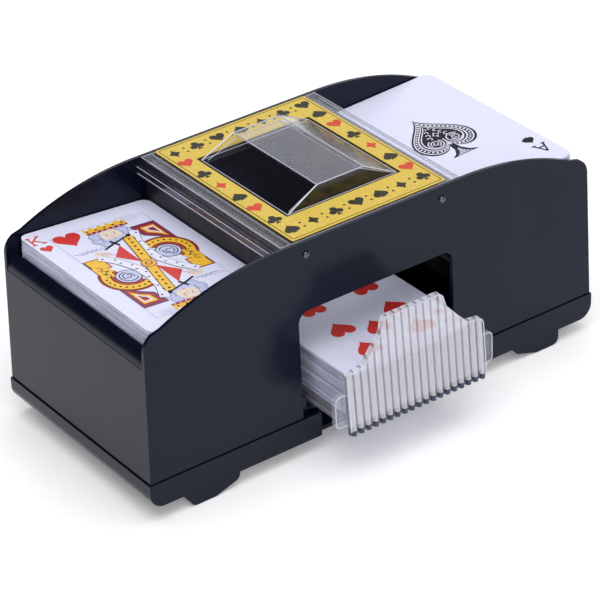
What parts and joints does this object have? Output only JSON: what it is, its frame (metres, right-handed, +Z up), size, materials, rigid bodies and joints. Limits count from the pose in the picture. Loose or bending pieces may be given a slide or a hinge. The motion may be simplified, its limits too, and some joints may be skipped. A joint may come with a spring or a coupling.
{
  "type": "automatic card shuffler",
  "caption": "Arched casing with a card bay at each end, clear hooded cover over a centre well, and a clear ribbed tray that slides out of the front mouth.",
  "frame": {"origin": "middle of the overall box, on the plane of the four foot pads", "axes": "+X along the length towards the right-hand card bay, -Y out of the front mouth, +Z up"},
  "size_m": [0.2076, 0.12, 0.097],
  "materials": {
    "shell_black": "gloss moulded black plastic with a faint blue cast",
    "inner_black": "matt moulded black plastic",
    "clear_plastic": "clear moulded styrene plastic",
    "label_yellow": "printed yellow sheet with card-suit pips",
    "card_white": "coated playing-card board",
    "rubber": "soft matt rubber",
    "gear_white": "natural acetal",
    "steel": "plated steel",
    "battery_wrap": "printed cell wrapper"
  },
  "bodies": {
    "casing": {"upper_shell": "shell_black", "base_shell": "shell_black", "clear_cover": "clear_plastic", "cover_label": "label_yellow", "front_left_cover_peg": "steel", "front_left_base_screw": "steel", "front_right_cover_peg": "steel", "front_right_base_screw": "steel", "rear_left_cover_peg": "steel", "rear_left_base_screw": "steel", "rear_right_cover_peg": "steel", "rear_right_base_screw": "steel", "left_feed_deck": "inner_black", "left_gate": "inner_black", "left_idler_axle": "steel", "left_motor": "steel", "left_gear_bracket": "inner_black", "left_front_bracket": "inner_black", "left_inner_battery": "battery_wrap", "left_outer_battery": "battery_wrap", "left_inner_battery_spring": "steel", "left_outer_battery_spring": "steel", "left_positive_terminal": "steel", "left_negative_terminal": "steel", "left_battery_bridge": "steel", "right_feed_deck": "inner_black", "right_gate": "inner_black", "right_idler_axle": "steel", "right_motor": "steel", "right_gear_bracket": "inner_black", "right_front_bracket": "inner_black", "right_inner_battery": "battery_wrap", "right_outer_battery": "battery_wrap", "right_inner_battery_spring": "steel", "right_outer_battery_spring": "steel", "right_positive_terminal": "steel", "right_negative_terminal": "steel", "right_battery_bridge": "steel", "button_spring": "steel", "button_switch": "inner_black"},
    "tray": {"card_tray": "clear_plastic"},
    "tray_pile": {"tray_card_pile": "card_white"},
    "left_deck": {"left_card_deck": "card_white"},
    "right_deck": {"right_card_deck": "card_white"},
    "button": {"push_button": "shell_black"},
    "left_roller": {"left_roller_shaft": "steel", "left_front_feed_wheel": "rubber", "left_rear_feed_wheel": "rubber", "left_roller_gear": "gear_white"},
    "left_idler": {"left_idler_gear": "gear_white"},
    "left_rotor": {"left_motor_pinion": "gear_white"},
    "left_door": {"left_battery_door": "shell_black"},
    "right_roller": {"right_roller_shaft": "steel", "right_front_feed_wheel": "rubber", "right_rear_feed_wheel": "rubber", "right_roller_gear": "gear_white"},
    "right_idler": {"right_idler_gear": "gear_white"},
    "right_rotor": {"right_motor_pinion": "gear_white"},
    "right_door": {"right_battery_door": "shell_black"}
  },
  "joints": [
    {"name": "tray_slide", "type": "slide", "parent": "casing", "child": "tray", "axis": [0, -1, 0], "range_m": [-0.0188, 0.055]},
    {"name": "tray_pile_lift", "type": "slide", "parent": "tray", "child": "tray_pile", "axis": [0, 0.0785, 0.9969], "range_m": [0, 0.018]},
    {"name": "left_deck_lift", "type": "slide", "parent": "casing", "child": "left_deck", "axis": [0, 0, 1], "range_m": [0, 0.01]},
    {"name": "right_deck_lift", "type": "slide", "parent": "casing", "child": "right_deck", "axis": [0, 0, 1], "range_m": [0, 0.006]},
    {"name": "left_roller_spin", "type": "hinge", "parent": "casing", "child": "left_roller", "pos_m": [-0.052, 0.011, 0.0458], "axis": [0, 1, 0], "continuous": true},
    {"name": "left_idler_spin", "type": "hinge", "parent": "casing", "child": "left_idler", "pos_m": [-0.06067, 0.011, 0.03852], "axis": [0, 1, 0], "continuous": true},
    {"name": "left_motor_spin", "type": "hinge", "parent": "casing", "child": "left_rotor", "pos_m": [-0.07655, 0.011, 0.03572], "axis": [0, 1, 0], "continuous": true},
    {"name": "left_battery_door_release", "type": "slide", "parent": "casing", "child": "left_door", "axis": [0, 0, -1], "range_m": [0, 0.012]},
    {"name": "right_roller_spin", "type": "hinge", "parent": "casing", "child": "right_roller", "pos_m": [0.052, 0.011, 0.0458], "axis": [0, 1, 0], "continuous": true},
    {"name": "right_idler_spin", "type": "hinge", "parent": "casing", "child": "right_idler", "pos_m": [0.06067, 0.011, 0.03852], "axis": [0, 1, 0], "continuous": true},
    {"name": "right_motor_spin", "type": "hinge", "parent": "casing", "child": "right_rotor", "pos_m": [0.07655, 0.011, 0.03572], "axis": [0, 1, 0], "continuous": true},
    {"name": "right_battery_door_release", "type": "slide", "parent": "casing", "child": "right_door", "axis": [0, 0, -1], "range_m": [0, 0.012]},
    {"name": "button_press", "type": "slide", "parent": "casing", "child": "button", "axis": [0, -1, 0], "range_m": [0, 0.0016], "stiffness_N_per_m": 250, "springref_m": -0.001, "deforming": ["button_spring"]}
  ],
  "couplings": [
    {"joint": "left_idler_spin", "follows": "left_roller_spin", "ratio": -1.3333},
    {"joint": "left_motor_spin", "follows": "left_roller_spin", "ratio": 4},
    {"joint": "right_idler_spin", "follows": "right_roller_spin", "ratio": -1.3333},
    {"joint": "right_motor_spin", "follows": "right_roller_spin", "ratio": 4}
  ]
}
